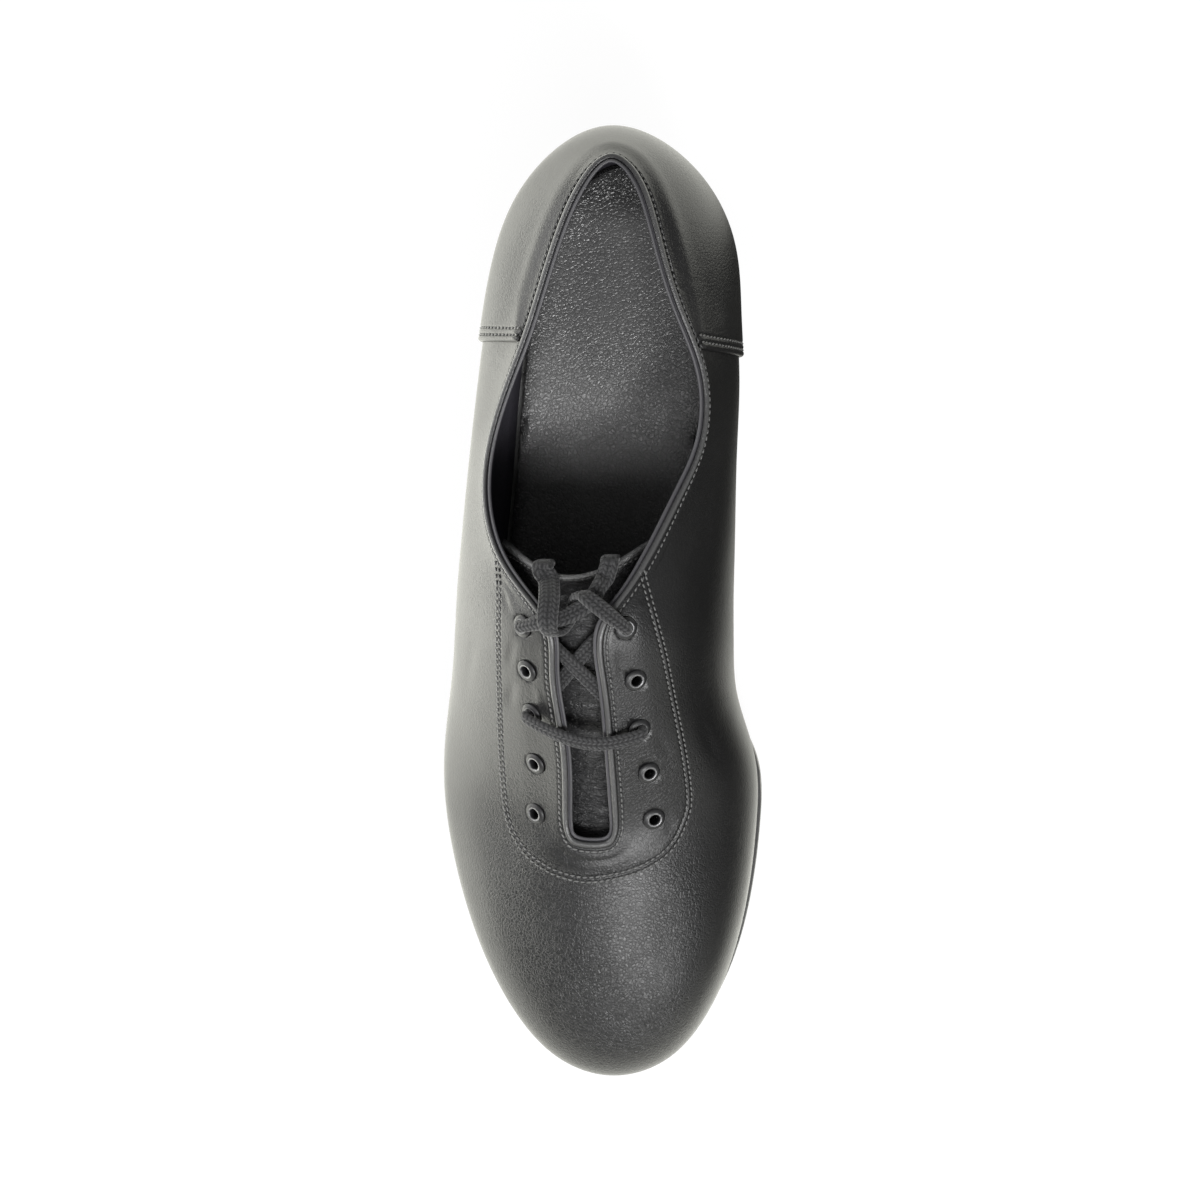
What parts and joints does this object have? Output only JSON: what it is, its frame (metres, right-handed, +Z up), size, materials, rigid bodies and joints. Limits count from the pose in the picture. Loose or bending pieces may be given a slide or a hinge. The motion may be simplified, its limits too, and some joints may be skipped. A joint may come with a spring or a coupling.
{
  "type": "dance shoe",
  "caption": "Laced low-cut dance shoe in smooth black leather for the right foot, with open collar and throat, back panel, thin arched sole and block heel.",
  "frame": {"origin": "bottom centre of the bounding box, on the floor under the middle of the shoe", "axes": "+Y from toe to heel along the shoe, +Z up, +X towards the inner side of the foot"},
  "size_m": [0.0922, 0.2755, 0.0964],
  "materials": {
    "upper_leather": "satin black, fine pebble grain",
    "counter_leather": "satin black, fine pebble grain",
    "tongue_leather": "soft wrinkled black",
    "sock_leather": "charcoal, worn slightly glossy",
    "sole": "matt black edge",
    "heel": "matt black",
    "eyelet_enamel": "black enamel with worn rims",
    "lace": "matt braided cotton, charcoal"
  },
  "bodies": {
    "root": {"upper": "upper_leather", "counter": "counter_leather", "tongue": "tongue_leather", "insole": "sock_leather", "outsole": "sole", "heel": "heel", "lace_bar": "lace", "lace_cross": "lace", "lace_end_lateral": "lace", "lace_end_medial": "lace", "eyelet_lateral_1": "eyelet_enamel", "eyelet_lateral_2": "eyelet_enamel", "eyelet_lateral_3": "eyelet_enamel", "eyelet_lateral_4": "eyelet_enamel", "eyelet_lateral_5": "eyelet_enamel", "eyelet_medial_1": "eyelet_enamel", "eyelet_medial_2": "eyelet_enamel", "eyelet_medial_3": "eyelet_enamel", "eyelet_medial_4": "eyelet_enamel", "eyelet_medial_5": "eyelet_enamel"}
  },
  "joints": []
}
